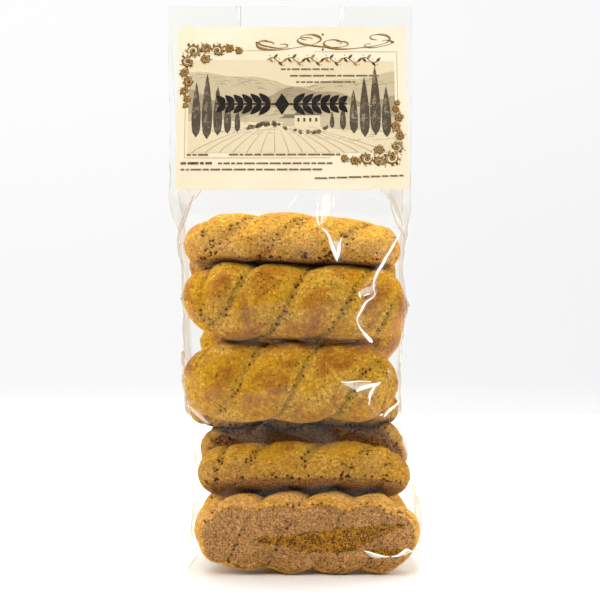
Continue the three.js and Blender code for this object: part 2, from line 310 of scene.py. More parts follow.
def biscuitTree(material):
    tree = bpy.data.node_groups.new("Twisted biscuit", "GeometryNodeTree")
    names = ("Length", "Width", "Thickness", "Turns", "Phase", "Seed", "Bend", "Strand Share",
             "Sunk", "Left Offset", "Right Offset", "Belly", "Bake")
    for name in names:
        tree.interface.new_socket(name, in_out="INPUT", socket_type="NodeSocketFloat")
    tree.interface.new_socket("Geometry", in_out="OUTPUT", socket_type="NodeSocketGeometry")
    given = tree.nodes.new("NodeGroupInput")
    length, width, thick, turns, phase, seed, bend, share, sunk, left, right, belly, toneAndShade = (
        Wire(tree, given.outputs[name]) for name in names)

    def step(kind, geometry, inputs=None):
        return wired(tree, "GeometryNode" + kind, {0: geometry, **(inputs or {})})

    def stored(geometry, name, field):
        return step("StoreNamedAttribute", geometry, {"Name": name, "Value": field})

    def attribute(name):
        return wired(tree, "GeometryNodeInputNamedAttribute", {"Name": name}, "Attribute")

    # a flat grid whose two directions run along and around the biscuit
    geometry = wired(tree, "GeometryNodeMeshGrid", {
        "Size X": 1, "Size Y": 1, "Vertices X": crust["cellsAlong"] + 1,
        "Vertices Y": crust["cellsAround"] + 1})
    u, v, _ = split3(wired(tree, "GeometryNodeInputPosition"))

    half = length * 0.5
    x = half * ((u * math.pi).apply("SINE") * 0.72 + u * 0.56)
    along = x / half
    out = along.apply("ABSOLUTE")
    slow = noiseAt(join3(x * 30, seed, 0.3), 1, 1) - 0.5
    fullRadius = share * width
    bodyHalf = (thick + sunk) * 0.5
    gather = 1 - out.ramp(0.6, 1) * dough["endGather"]
    twist = phase + turns * (x / length) * (2 * math.pi)
    twist = twist + slow * crust["wobble"] * 3
    middles, radii = [], []
    for strand in (0, 1):
        start = half * -1 + (left if strand else 0)
        end = half - (0 if strand else right)
        uneven = noiseAt(join3(x * 22, seed, 5 + strand), 1, 1) - 0.5
        radius = fullRadius * (1 - belly * out * out) * (1 + uneven * 0.22)
        past = (start + radius - x).max(x - end + radius).max(0)
        radii.append((radius * radius - past * past).max(0).apply("SQRT"))
        angle = twist + math.pi * strand
        away = (width * 0.5 - fullRadius) * gather
        middles.append((away * angle.apply("COSINE"), away * angle.apply("SINE")))
    weights = [r * r + 1e-9 for r in radii]
    middleY, middleZ = ((one * weights[0] + other * weights[1]) / (weights[0] + weights[1])
                        for one, other in zip(*middles))

    # how far each strand reaches from the middle, in the direction of this point
    turn = v * (2 * math.pi)
    dirY, dirZ = turn.apply("COSINE"), turn.apply("SINE")
    reach = []
    for (strandY, strandZ), radius in zip(middles, radii):
        offY, offZ = strandY - middleY, strandZ - middleZ
        ahead = offY * dirY + offZ * dirZ
        rest = ahead * ahead - (offY * offY + offZ * offZ - radius * radius)
        reach.append((ahead + rest.max(0).apply("SQRT")) * rest.apply("GREATER_THAN", 0))
    ring = join3(x + seed, dirY * fullRadius, dirZ * fullRadius)
    shut = noiseAt(ring, 42, 1).ramp(0.5, 0.68)
    distance = smoothMax(*reach, crust["seamBlend"] * mm + shut * (crust["seamClose"] * mm))
    seamGap = (reach[0] - reach[1]).apply("ABSOLUTE")
    y = middleY + distance * dirY + bend * along * along
    # the round section is flattened to the biscuit's thickness, and then cut off at its base
    z = (middleZ + distance * dirZ) * (bodyHalf / (width * 0.5)) + bodyHalf - sunk
    z = smoothMax(z, 0, crust["rimBlend"] * mm)
    inner = out.fade(0.86, 0.95)
    for name, field in (("seam", seamGap.fade(0, 1.5 * mm) * inner * (1 - shut * 0.85)),
                        ("seamWide", seamGap.fade(0, 6 * mm) * inner),
                        ("seamLine", seamGap.fade(0, 2.4 * mm) * inner)):
        geometry = stored(geometry, name, field)
    geometry = step("SetPosition", geometry, {"Position": join3(x, y, z)})
    geometry = step("MergeByDistance", step("FlipFaces", geometry), {"Distance": 0.02 * mm})

    # uneven dough: lumps, wrinkles and crumb
    where = wired(tree, "GeometryNodeInputPosition")
    normal = wired(tree, "GeometryNodeInputNormal")
    here = vectorMaths("ADD", where, join3(seed, seed * 0.37, 0))
    up, level = split3(normal)[2], split3(where)[2]
    onBase = level.fade(0.1 * mm, 2.2 * mm) * up.fade(-0.95, -0.4)
    offBase = 1 - onBase * 0.8
    lumps, wrinkles, crumb = (
        (noiseAt(here, *kind) - 0.5) * 2 * (crust[name] * mm) for name, kind in (
            ("lumps", (55, 1.5)), ("wrinkles", (190, 3, 0.6)), ("crumb", (640, 3, 0.7))))
    # rows of pits along the seams, lone pits in busy patches, and tears that break up into pits
    swayed = vectorMaths("ADD", here, scaled(noiseAt(here, 500, 1, part=1), 1.1 * mm))
    cellGap, cellPick = cellsAt(swayed, 470)
    seamPits = cellGap.fade(0.16, 0.5) * attribute("seamLine").ramp(0.25, 0.7)
    seamPits = seamPits * noiseAt(here, 60, 1).ramp(0.34, 0.46) * cellPick.ramp(0.2, 0.34)
    loneGap, lonePick = cellsAt(swayed, 290)
    rarity = 0.9 - noiseAt(here, 36, 1).ramp(0.46, 0.66) * 0.5
    lonePits = loneGap.fade(0.06, 0.24) * (lonePick - rarity).ramp(0, 0.08)
    split = (noiseAt(swayed, 75, 2, 0.5, 0.3) - 0.5).apply("ABSOLUTE")
    rim = level.ramp(0.3 * mm, 0.9 * mm) * level.fade(1.8 * mm, 3.4 * mm)
    torn = noiseAt(here, 33, 1) + rim * 0.05
    tears = split.fade(0.004, 0.032) * torn.ramp(0.55, 0.65) * offBase
    tears = tears * noiseAt(here, 520, 1).ramp(0.4, 0.56) * level.ramp(4 * mm, 12 * mm, 1, 0.7)
    rimPits = cellGap.fade(0.28, 0.58) * cellPick.ramp(0.3, 0.42) * rim
    seamPits = seamPits.max(rimPits * noiseAt(here, 48, 1).ramp(0.38, 0.48))
    push = (lumps + wrinkles) * offBase + crumb * (1 - onBase * 0.5)
    push = push - attribute("seam") * (crust["grooves"] * mm)
    push = push - seamPits.max(lonePits * 0.8) * (crust["pits"] * mm) - tears * (crust["cracks"] * mm)
    for name, field in (("pits", seamPits.max(lonePits).max(tears * 0.85)), ("base", onBase),
                        ("toneAndShade", toneAndShade), ("up", up)):
        geometry = stored(geometry, name, field)
    geometry = step("SetPosition", geometry, {"Offset": scaled(normal, push)})
    geometry = step("RealizeInstances", step("SetShadeSmooth", geometry))
    geometry = step("SetMaterial", geometry, {"Material": material})
    plugAll(tree.nodes.new("NodeGroupOutput"), {0: geometry})
    return tree


def plainMesh(name, tree, settings):
    # runs a tree on an empty object and keeps its result as an ordinary mesh
    host = newObject(name + "_host", bpy.data.meshes.new(name + "_host"))
    modifier = host.modifiers.new("Shape", "NODES")
    modifier.node_group = tree
    for item in tree.interface.items_tree:
        if item.in_out == "INPUT":
            modifier[item.identifier] = settings[item.name]
    graph = bpy.context.evaluated_depsgraph_get()
    mesh = bpy.data.meshes.new_from_object(host.evaluated_get(graph), depsgraph=graph)
    mesh.name = name
    host.modifiers.remove(modifier)
    bpy.data.objects.remove(host)
    return mesh


def biscuitPlace(biscuit):
    roll, pitch, yaw = (math.radians(a) for a in biscuit["turn"])
    place = Matrix.Translation(Vector(biscuit["at"]) * mm + shift)
    turned = Euler((roll, pitch, yaw), "XYZ").to_matrix().to_4x4()
    return place @ turned @ Matrix.Translation((0, 0, -biscuit["size"][2] / 2 * mm))


crustColours = {
    "golden": (218, 160, 38), "pale": (225, 173, 64), "rosy": (206, 152, 76),
    "wash": (190, 120, 6), "deepWash": (158, 94, 2), "seam": (176, 138, 60),
    "pitShade": (52, 26, 4), "base": (187, 137, 78), "baseDark": (158, 111, 60), "baseDot": (96, 58, 30),
    "damp": (176, 118, 0), "dampDark": (74, 38, 0),
}


def crustMaterial():
    material, tree, shader = newMaterial("baked crust")
    c = crustColours
    here = objectPlace(tree)
    slow = noiseAt(here, 48, 3)
    patch = noiseAt(here, 58, 2.5, 0.6, 0.5)
    mottle = noiseAt(here, 330, 4, 0.7)
    grain = noiseAt(here, 1350, 1.5, 0.6)
    sway = scaled(noiseAt(here, 700, 1, part=1), 0.8 * mm)
    crumbGap, crumbPick = cellsAt(vectorMaths("ADD", here, sway), 780)
    up, base, damping, pits, seamLine, seamWide = (
        attributeIn(tree, name) for name in ("up", "base", "damp", "pits", "seamLine", "seamWide"))
    # egg wash and browning on the crests, and paler seams
    crest = up.ramp(-0.1, 0.6) * seamWide.ramp(0.85, 0.2)
    varnish = patch * 0.72 + mottle * 0.28
    wash = varnish.ramp(0.48, 0.54) * crest
    seam = seamLine.ramp(0.3, 1) * slow.ramp(0.35, 0.6, 0.3, 0.7)
    colour = colourMix(slow.ramp(0.4, 0.62), c["golden"], c["pale"])
    for share, name in ((up.ramp(0.5, -0.3) * slow.ramp(0.35, 0.6, 0.5, 0.9), "rosy"),
                        (wash * 0.85, "wash"), (varnish.ramp(0.55, 0.64) * crest * 0.7, "deepWash"),
                        (seam * up.ramp(-0.2, 0.4), "seam")):
        colour = colourMix(share, colour, c[name])
    # the porous base, and where it is damp
    baseColour = colourMix((slow * 0.35 + grain * 0.65).ramp(0.42, 0.58), c["baseDark"], c["base"])
    dotGap, dotPick = cellsAt(here, 900)
    dots = dotGap.fade(0.12, 0.4) * dotPick.ramp(0.55, 0.62)
    baseColour = colourMix(dots * 0.8, baseColour, c["baseDot"])
    wet = colourMix((grain * 0.6 + mottle * 0.4).ramp(0.42, 0.56), c["dampDark"], c["damp"])
    baseColour = colourMix(damping, baseColour, wet)
    ragged = base + (mottle - 0.5) * base.ramp(0.02, 0.3) * 0.9
    colour = colourMix(ragged.ramp(0.2, 0.7), colour, baseColour)
    # pinholes finer than the mesh, and the pits that are in it, darkened in the colour as painted shade
    gap, pick = cellsAt(here, 620)
    busy = noiseAt(here, 44, 2).ramp(0.4, 0.64, 0.92, 0.64) - base * 0.2
    pinholes = gap.fade(0.1, 0.42) * (pick - busy).ramp(0, 0.06)
    for share in (pinholes, pits.ramp(0.15, 0.8)):
        colour = colourMix(share * 0.85, colour, c["pitShade"])
    # dark grains turn browner and light ones paler
    speckle = (grain * 0.55 + mottle * 0.22 + crumbPick * 0.23).ramp(0.3, 0.7, 0.58, 1.42, "LINEAR")
    # painted shade: the gaps between crumbs are darker, and a few crumbs are lighter
    speckle = speckle * crumbGap.ramp(0.35, 0.8, 1.05, 0.86) + (crumbPick - 0.9).max(0) * 2
    tone = join3(speckle ** 0.8, speckle, speckle ** 1.3)
    # painted light and shade: each biscuit's own brightness, and painted shade where another biscuit all but
    # touches
    lit = attributeIn(tree, "toneAndShade") * (1 - attributeIn(tree, "paintedContactShade") * 0.93)
    height = grain * 0.4 + mottle * 0.45 - crumbGap * 0.25 - pinholes * 0.5
    plugAll(shader, {
        "Base Color": scaled(vectorMaths("MULTIPLY", colour, tone), lit),
        "Roughness": wash.ramp(0, 1, 0.75, 0.5),
        "Specular IOR Level": wash.ramp(0, 1, 0.1, 0.35) * (1 - damping * 0.7),
        "Normal": bumped(height, 1, 0.0009)})
    return material


def addDamp(mesh):
    # where the film clings to the greasy base and darkens it
    x, _, z = ((pointsOf(mesh) - np.array(shift)) / mm).T
    edge = 0.4 * np.sin(x * 0.31) + 0.35 * np.sin(x * 0.83 + 2) + 0.2 * np.sin(x * 2.7)
    inside = np.full(len(x), damp["overall"])
    for top, low in damp["patches"]:
        topAt, lowAt = (np.interp(x, *zip(*outline)) for outline in (top, low))
        patch = smooth01(topAt + edge - z, -0.4, 0.7) * smooth01(z - lowAt + edge, -0.4, 0.7)
        patch *= (x > top[0][0]) * (x < top[-1][0])
        inside = np.maximum(inside, patch)
    addLayer(mesh, "damp", inside)


def addPaintedContactShade(meshes):
    # painted shade: crust that all but touches another biscuit is darkened in its colour
    reach = crust["paintedShadeReach"] * mm
    surfaces = [surfaceOf(mesh) for mesh in meshes]
    spots = [pointsOf(mesh) for mesh in meshes]
    for i, mesh in enumerate(meshes):
        close = np.zeros(len(spots[i]))
        for k, surface in enumerate(surfaces):
            low, high = spots[k].min(0) - reach, spots[k].max(0) + reach
            inside = ((spots[i] > low) & (spots[i] < high)).all(1)
            for v in np.nonzero(inside)[0] if k != i else []:
                gap = surface.find_nearest(spots[i][v], reach)[3]
                if gap is not None:
                    close[v] = max(close[v], 1 - gap / reach)
        addLayer(mesh, "paintedContactShade", close ** 1.3)


def buildBiscuits():
    tree = biscuitTree(crustMaterial())
    meshes = []
    for biscuit in biscuits:
        biscuit = {**dough, **biscuit}
        length, width, thick = biscuit["size"]
        left, right = biscuit["ends"]
        mesh = plainMesh(biscuit["name"], tree, {
            "Length": length * mm, "Width": width * mm, "Thickness": thick * mm,
            "Turns": biscuit["turns"], "Phase": math.radians(biscuit["phase"]),
            "Seed": biscuit["seed"], "Bend": biscuit["bend"] * mm, "Sunk": biscuit["sunk"] * mm,
            "Strand Share": biscuit["share"], "Belly": biscuit["belly"], "Bake": biscuit["toneAndShade"],
            "Left Offset": left * mm, "Right Offset": right * mm})
        mesh.transform(biscuitPlace(biscuit))
        for vertex in mesh.vertices:  # the lowest ones are pressed flat by the table
            vertex.co.z = max(vertex.co.z, dough["lowest"] * mm)
        if biscuit["name"] == damp["on"]:
            addDamp(mesh)
        newPiece(biscuit["name"], mesh, "bag")
        meshes.append(mesh)
    addPaintedContactShade(meshes)
    return meshes


biscuitMeshes = buildBiscuits()
print("biscuits made:", len(biscuitMeshes), "of", len(biscuitMeshes[0].polygons), "faces")


# the film: a side-gusseted bag drawn over the biscuits like a membrane

bag = {
    "height": 292, "blockHalf": 36.5, "gussetHalf": 37.4, "footHalf": 34, "footRound": 10, "shoulder": 174,
    "slope": 200, "slopeHalf": 32.8, "topHalf": 1.2, "cornerBlock": 11, "cornerFoot": 3,
    "cornerHeader": 0.5, "earHeight": 24,
    "left": [(0, -57.5), (19, -54.5), (55, -54), (91, -56.5), (125, -59.5), (163, -61.5),
             (200, -63.5), (292, -65.5)],
    "right": [(0, 63), (20, 65.5), (50, 63), (75, 60), (110, 58.8), (190, 58.5), (292, 60.6)],
}
film = {
    "rows": 280, "frontCells": 148, "cornerCells": 5, "gussetCells": 24, "backCells": 72,
    "clearance": 0.4, "sinkFront": 0.0245, "sinkSide": -0.0012,  # bending of the free film, 1/mm
    "footFade": 7, "topFade": 14, "labelBottom": 196.5,
    "footGap": 0.25,  # keeps the bottom off the table's own face
    "rayStart": 5, "rayReach": 70, "free": 60,  # the search for a biscuit, and how deep without one
    "riseRounds": 60, "riseHold": 0.98,  # how softly the film rises over what reaches past it
    "header": (188, 205), "footRise": (3, 16), "hemFade": 14,  # where the slack folds come and go
    "slackWrinkles": 0.5, "sideWrinkles": 0.5, "headerWrinkles": 0.45,
    # folds of the front, the gussets and the header: seed, length, lean and how much that varies
    "frontWaves": (5, 16, 25, 0.5), "sideWaves": (9, 30, 60, 0.6), "headerWaves": (12, 20, 4, 0.12),
    "foldFrom": 203, "foldWhite": 0.8,
    "calmFoot": (4, 14), "calmHeader": (205, 225), "calmShare": 0.75,
}


def atHeight(stations, z):
    # a value that eases from one station to the next
    for (lowZ, low), (highZ, high) in zip(stations, stations[1:]):
        if z <= highZ:
            return low + (high - low) * smooth01(z, lowZ, highZ)
    return stations[-1][1]


def halfDepth(z):
    rise = math.sin(math.pi / 2 * min(1, z / bag["footRound"]))
    foot = bag["footHalf"] + (bag["blockHalf"] - bag["footHalf"]) * rise
    if z <= bag["shoulder"]:
        return foot
    fall = (bag["slopeHalf"] - bag["topHalf"]) / (bag["height"] - bag["slope"])
    if z >= bag["slope"]:
        return bag["slopeHalf"] - fall * (z - bag["slope"])
    span = bag["slope"] - bag["shoulder"]
    t = (z - bag["shoulder"]) / span
    eased = t * t * (3 - 2 * t)
    level = bag["blockHalf"] + (bag["slopeHalf"] - bag["blockHalf"]) * eased
    return level + (t ** 2 - t ** 3) * fall * span


def gussetInset(z):
    if z <= bag["shoulder"]:
        return 0.0
    return bag["gussetHalf"] * math.sqrt(max(0.0, 1 - (halfDepth(z) / bag["blockHalf"]) ** 2))


def cornerRadius(z):
    block = bag["cornerFoot"] + (bag["cornerBlock"] - bag["cornerFoot"]) * smooth01(z, 0, bag["earHeight"])
    return block + (bag["cornerHeader"] - block) * smooth01(z, bag["shoulder"], bag["slope"])


def quarterSection(halfWidth, z, panelCells):
    # from the middle of a panel, round the corner, to the fold of the gusset
    depth, radius, points = halfDepth(z), cornerRadius(z), []
    for i in range(panelCells):
        points.append(((halfWidth - radius) * i / panelCells, depth))
    for i in range(film["cornerCells"]):
        a = math.pi / 2 * i / film["cornerCells"]
        points.append((halfWidth - radius * (1 - math.sin(a)), depth - radius * (1 - math.cos(a))))
    for i in range(film["gussetCells"] + 1):
        t = i / film["gussetCells"]
        points.append((halfWidth - gussetInset(z) * t, (depth - radius) * (1 - t)))
    return points


def bagSection(z):
    # counter-clockwise from above, from the middle of the front panel
    left, right = atHeight(bag["left"], z), atHeight(bag["right"], z)
    middle, halfWidth = (left + right) / 2, (right - left) / 2
    front = quarterSection(halfWidth, z, film["frontCells"] // 2)
    back = quarterSection(halfWidth, z, film["backCells"] // 2)
    ring = [(x, -y) for x, y in front] + [(x, y) for x, y in back[-2:0:-1]]
    ring += [(-x, y) for x, y in back[:-1]] + [(-x, -y) for x, y in front[:0:-1]]
    return [(middle + x, y) for x, y in ring]


def stretched(limits, pull, held, rounds):
    # the film sinks evenly and is stopped by the biscuits: coarse grid first, then finer ones
    sunk = np.zeros(limits[::8, ::8].shape)
    for step, times in rounds:
        limit, bend, hold = limits[::step, ::step], pull[::step, ::step], held[::step]
        if sunk.shape != limit.shape:
            rowAt = np.linspace(0, sunk.shape[0] - 1, limit.shape[0]).round().astype(int)
            columnAt = (np.arange(limit.shape[1]) * sunk.shape[1] // limit.shape[1])
            sunk = sunk[rowAt][:, columnAt]
        for _ in range(times):
            level = (np.roll(sunk, 1, 1) + np.roll(sunk, -1, 1)) / 4
            level[1:-1] += (sunk[:-2] + sunk[2:]) / 4
            sunk = np.minimum(np.maximum(0, level + bend * step * step), limit) * hold[:, None]
            sunk[0] = sunk[-1] = 0
    return sunk


def filmGrid(meshes):
    rowPitch = bag["height"] / film["rows"]
    heights = np.arange(film["rows"] + 1) * rowPitch
    rings = np.array([bagSection(z) for z in heights])
    edge = np.roll(rings, -1, 1) - np.roll(rings, 1, 1)
    normals = np.stack([edge[..., 1], -edge[..., 0]], -1)
    normals /= np.linalg.norm(normals, axis=-1, keepdims=True)
    tree = surfaceOf(*meshes)
    limits = np.full(rings.shape[:2], float(film["free"]))
    off = film["rayStart"]
    for j, z in enumerate(heights):
        if z > film["labelBottom"]:
            break
        for i in range(rings.shape[1]):
            (x, y), (nx, ny) = rings[j, i], normals[j, i]
            start = Vector((x + nx * off, y + ny * off, z)) * mm + shift
            gap = tree.ray_cast(start, Vector((-nx, -ny, 0)), film["rayReach"] * mm)[3]
            if gap is not None:
                limits[j, i] = gap / mm - off - film["clearance"]
    # where a biscuit reaches past the section, the film is lifted in a soft rise around it
    rise = np.minimum(limits, 0)
    for _ in range(film["riseRounds"]):
        near = np.pad(rise, ((1, 1), (0, 0)))
        level = (near[:-2] + near[2:] + np.roll(rise, 1, 1) + np.roll(rise, -1, 1)) / 4
        rise = np.minimum(rise, level * film["riseHold"])
    limits = np.where(rise < -0.01, rise, limits)
    front = np.abs(normals[..., 1])
    pull = (film["sinkSide"] + (film["sinkFront"] - film["sinkSide"]) * front) * rowPitch ** 2 / 4
    top = film["labelBottom"] - 1
    held = smooth01(heights, 0, film["footFade"]) * smooth01(top - heights, 0, film["topFade"])
    sunk = stretched(limits, pull, held, [(8, 200), (4, 200), (2, 300), (1, 400)])
    return heights, rings, normals, sunk, limits


# creases of the front: height, width, how whitened they are (partly real whitening of the film, partly a
# painted highlight), width of the white line, and the points they run through, across and up
creases = [
    (1.4, 2.6, 1, 1.15, [(54.8, 178.2), (50.4, 171.1), (45.1, 160.2), (40.4, 153.3), (40.1, 148.7),
     (40.3, 144.8), (35.1, 139.4), (31.6, 133.3), (33.9, 126.3), (38.9, 119.4)]),
    (0.9, 2.2, 0.5, 0.9, [(40.4, 153.3), (34, 147.5), (32.3, 145), (34.2, 140.5)]),
    (1.2, 2.4, 1, 1, [(11.5, 196), (12, 191.8), (10.8, 184.1), (12, 179.1), (13.9, 177.6), (16.6, 174.1),
     (19.7, 169.5), (21.6, 161)]),
    (1, 2, 0.6, 0.8, [(18.5, 196), (18.9, 191.8), (19.3, 184.9)]),
    (1, 2.4, 1, 1.5, [(23.5, 172.6), (22.4, 166.4), (21.6, 161)]),
    (1.1, 3.2, 0.85, 1.5, [(23, 100.1), (30.5, 96.2), (37.7, 95.2), (43.8, 99.5)]),
    (1.1, 2, 0.7, 0.7, [(38, 94.7), (37.6, 89.7), (38.8, 85.5), (44.7, 81.3), (53, 87.6)]),
    (1.2, 3, 0.25, 0.7, [(-25.3, 69.6), (-18, 76.5), (-10.3, 83)]),
    (1, 2.4, 0.55, 0.7, [(-54, 92), (-49.4, 87.2), (-43.2, 78)]),
    (0.9, 2.2, 0.55, 0.7, [(33.8, 14.5), (39.6, 11.6), (47.2, 10.4), (55.4, 11.6), (58, 15),
     (61.3, 13.3)]),
]


def nearLine(points, path):
    # distance to a polyline, the nearest point on it, and how far along it that is
    best = np.full(len(points), 1e9)
    at = points.copy()
    along = np.zeros(len(points))
    lengths = [math.dist(a, b) for a, b in zip(path, path[1:])]
    done = 0.0
    for (a, b), length in zip(zip(path, path[1:]), lengths):
        a, step = np.array(a), np.array(b) - np.array(a)
        t = np.clip(((points - a) @ step) / length ** 2, 0, 1)
        close = a + t[:, None] * step
        gap = np.linalg.norm(points - close, axis=1)
        nearer = gap < best
        best[nearer], at[nearer] = gap[nearer], close[nearer]
        along[nearer] = (done + t[nearer] * length) / sum(lengths)
        done += length
    return best, at, along


def waves(across, up, seed, length, lean, spread=0.5, count=7):
    # soft parallel folds, as a sum of waves that run nearly the same way
    draw = np.random.RandomState(seed)
    total = np.zeros_like(across)
    for _ in range(count):
        a = math.radians(lean) + spread * draw.normal()
        k = 2 * math.pi / (length * draw.uniform(0.7, 1.6))
        total += np.sin(k * (across * math.cos(a) + up * math.sin(a)) + draw.uniform(0, 6.28))
    return total / math.sqrt(count)


def filmMaterial():
    material, tree, shader = newMaterial("clear film")
    tree.nodes.remove(shader)
    here = objectPlace(tree)
    facing = wired(tree, "ShaderNodeLayerWeight", {"Blend": 0.5}, "Facing")
    lively = 1 - attributeIn(tree, "calm")
    tint = colourMix(facing ** 4 * lively, (254, 254, 253), (224, 211, 192))
    ripple = noiseAt(here, 90, 2, 0.5, 0.8) + noiseAt(here, 320, 1) * 0.15
    clear = wired(tree, "ShaderNodeBsdfTransparent", {"Color": tint})
    gloss = wired(tree, "ShaderNodeBsdfGlossy", {
        "Color": (0.88, 0.83, 0.77, 1), "Roughness": 0.1, "Normal": bumped(ripple, 0.5, 0.0006)})
    # the white mix on creases and folds is partly whitening of the film and partly a painted highlight
    haze = wired(tree, "ShaderNodeBsdfDiffuse", {"Color": (1, 0.96, 0.9, 1)})
    mirror = (facing ** 5 * 0.8 + 0.02) * (lively * 0.85 + 0.15)
    shiny = wired(tree, "ShaderNodeMixShader", {0: mirror, 1: clear, 2: gloss})
    white = attributeIn(tree, "creaseWhiteningAndGlint") * 0.7
    plugAll(tree.nodes["Material Output"], {
        0: wired(tree, "ShaderNodeMixShader", {0: white, 1: shiny, 2: haze})})
    return material


def buildFilm():
    heights, rings, normals, sunk, limits = filmGrid(biscuitMeshes)
    rows, columns = rings.shape[:2]
    z = np.repeat(heights[:, None], columns, 1)
    front = normals[..., 1] < -0.5
    free = np.clip((limits - sunk) / 4, 0, 1)
    header = smooth01(z, *film["header"])
    # folds of the slack film between the biscuits, and long upright ones in the header
    steps = np.linalg.norm(rings - np.roll(rings, 1, 1), axis=-1)
    around = np.cumsum(steps, 1) - steps[:, :1]
    side = np.abs(normals[..., 0]) > 0.5
    slack = waves(rings[..., 0], z, *film["frontWaves"]) * film["slackWrinkles"]
    slack = slack + waves(around, z, *film["sideWaves"]) * film["sideWrinkles"] * side
    slack = slack * free * (1 - header)
    upright = waves(rings[..., 0], z, *film["headerWaves"]) * film["headerWrinkles"]
    upright = upright * header * smooth01(bag["height"] - z, 0, film["hemFade"])
    edge = smooth01(z, *film["footRise"])
    depth = np.minimum(sunk + (slack + np.abs(upright)) * edge, limits)
    spots = np.stack([rings[..., 0].ravel(), z.ravel()], 1)
    lift, white = np.zeros(len(spots)), np.zeros(len(spots))
    facing = front.ravel()
    for height, width, whiteness, lineWidth, path in creases:
        gap, at, along = nearLine(spots, path)
        ends = smooth01(along, -0.02, 0.12) * smooth01(1 - along, -0.02, 0.12)
        close = np.clip(1 - gap / width, 0, 1) * facing
        lift = np.maximum(lift, height * close ** 1.5 * ends)
        length = sum(math.dist(a, b) for a, b in zip(path, path[1:]))
        travel = along * length
        uneven = 0.5 + 0.3 * np.sin(travel * 0.9 + length) + 0.2 * np.sin(travel * 2.3 + 1)
        line = lineWidth * (0.7 + 0.6 * uneven)
        bright = whiteness * (0.2 + 0.25 * uneven)
        white = np.maximum(white, np.exp(-(gap / line) ** 2) * bright * ends * facing)
        snap = ((gap < 0.5) & facing)[:, None]
        spots = np.where(snap, at, spots)
    # the gusset folds of the header are whitened too, partly as a painted highlight
    fold = (np.abs(rings[..., 1]) < 0.05) & (z > film["foldFrom"])
    white = np.maximum(white, (fold * film["foldWhite"]).ravel())
    depth = depth - lift.reshape(depth.shape)
    x = spots[:, 0].reshape(depth.shape) - depth * normals[..., 0]
    y = rings[..., 1] - depth * normals[..., 1]
    up = spots[:, 1].reshape(depth.shape)
    up[0], up[-1] = film["footGap"], z[-1]
    corners = np.stack([x, y, up], -1).reshape(-1, 3) * mm + np.array(shift)
    faces = gridFaces(rows, columns, closed=True)
    faces.append(tuple(range(columns - 1, -1, -1)))
    faces.append(tuple((rows - 1) * columns + i for i in range(columns)))
    mesh = bpy.data.meshes.new("film_bag")
    mesh.from_pydata(corners.tolist(), [], faces)
    addLayer(mesh, "creaseWhiteningAndGlint", white)
    # the foot and the flat header show little tint and mirror
    header = film["calmShare"] * smooth01(z, *film["calmHeader"])
    addLayer(mesh, "calm", np.maximum(1 - smooth01(z, *film["calmFoot"]), header).ravel())
    mesh.materials.append(filmMaterial())
    mesh.shade_smooth()
    newPiece("film_bag", mesh, "bag")
    return mesh


filmMesh = buildFilm()
print("film made:", len(filmMesh.polygons), "faces")


# sharp folds that stand out of the film: across, up and half width at each point
ridge = {
    "step": 0.5, "height": 0.16, "heightShare": 0.22, "root": 0.6, "leastHalf": 0.08,
    "startFront": 45, "startSide": 80,  # how far out the search for the film begins
    "jump": 6, "firstDepth": 9,  # a longer jump means that the film's edge is passed
}
